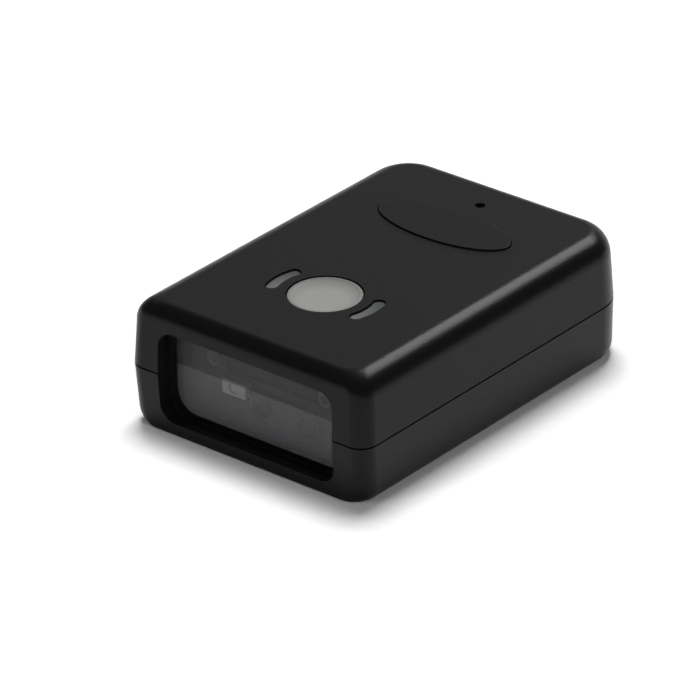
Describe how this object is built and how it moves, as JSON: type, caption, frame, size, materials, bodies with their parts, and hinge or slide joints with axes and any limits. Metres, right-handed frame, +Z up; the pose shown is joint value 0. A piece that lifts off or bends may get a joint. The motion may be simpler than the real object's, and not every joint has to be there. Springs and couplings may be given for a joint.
{
  "type": "embedded barcode scanner",
  "caption": "Small fixed-mount barcode scanner: low black two-piece housing, recessed scan window, round push key between status lights, rear cable jack.",
  "frame": {"origin": "middle of the base, at the bottom of the object's box", "axes": "+Z up, the scan window faces -Y, +X to the right seen from the front"},
  "size_m": [0.05, 0.0712, 0.0232],
  "materials": {
    "housing_plastic": "fine spark-textured black ABS",
    "badge_plastic": "smooth satin black",
    "clear_window": "polished, lightly smoked acrylic",
    "foam": "black closed-cell foam",
    "grey_key": "satin light grey",
    "light_guide": "frosted clear plastic",
    "circuit_board": "green solder mask",
    "black_resin": "moulded black resin",
    "bracket_plastic": "moulded dark grey",
    "bright_steel": "zinc-plated",
    "brass": "turned brass",
    "lamp_package": "white package with clear resin",
    "red_lens": "clear red resin",
    "optical_glass": "coated glass",
    "ivory_plastic": "ivory nylon",
    "polyimide": "amber film",
    "capacitor": "brown ceramic",
    "steel_mesh": "fine woven mesh"
  },
  "bodies": {
    "housing": {"top_cover": "housing_plastic", "bottom_cover": "housing_plastic", "oval_badge": "badge_plastic", "scan_window": "clear_window", "window_gasket": "foam", "light_guide_left": "light_guide", "light_guide_right": "light_guide", "main_board": "circuit_board", "imager_board": "circuit_board", "lamp_board": "circuit_board", "decoder_chip": "black_resin", "memory_chip": "black_resin", "buzzer": "black_resin", "lens_barrel": "black_resin", "jack_housing": "black_resin", "engine_chassis": "black_resin", "engine_bracket": "bracket_plastic", "housing_screws": "bright_steel", "bracket_screws": "bright_steel", "key_switch": "bright_steel", "clock_crystal": "bright_steel", "mounting_inserts": "brass", "engine_screws": "brass", "jack_contacts": "brass", "status_lamp_left": "lamp_package", "status_lamp_right": "lamp_package", "flood_lamp": "lamp_package", "aiming_lamp": "red_lens", "camera_lens": "optical_glass", "image_sensor": "optical_glass", "board_socket": "ivory_plastic", "engine_plug": "ivory_plastic", "flat_cable": "polyimide", "board_capacitors": "capacitor", "beeper_mesh": "steel_mesh"},
    "key": {"push_key": "grey_key", "switch_plunger": "black_resin"}
  },
  "joints": [
    {"name": "key_press", "type": "slide", "parent": "housing", "child": "key", "axis": [0, 0, -1], "range_m": [0, 0.0004], "stiffness_N_per_m": 4000, "springref_m": -0.0001}
  ]
}
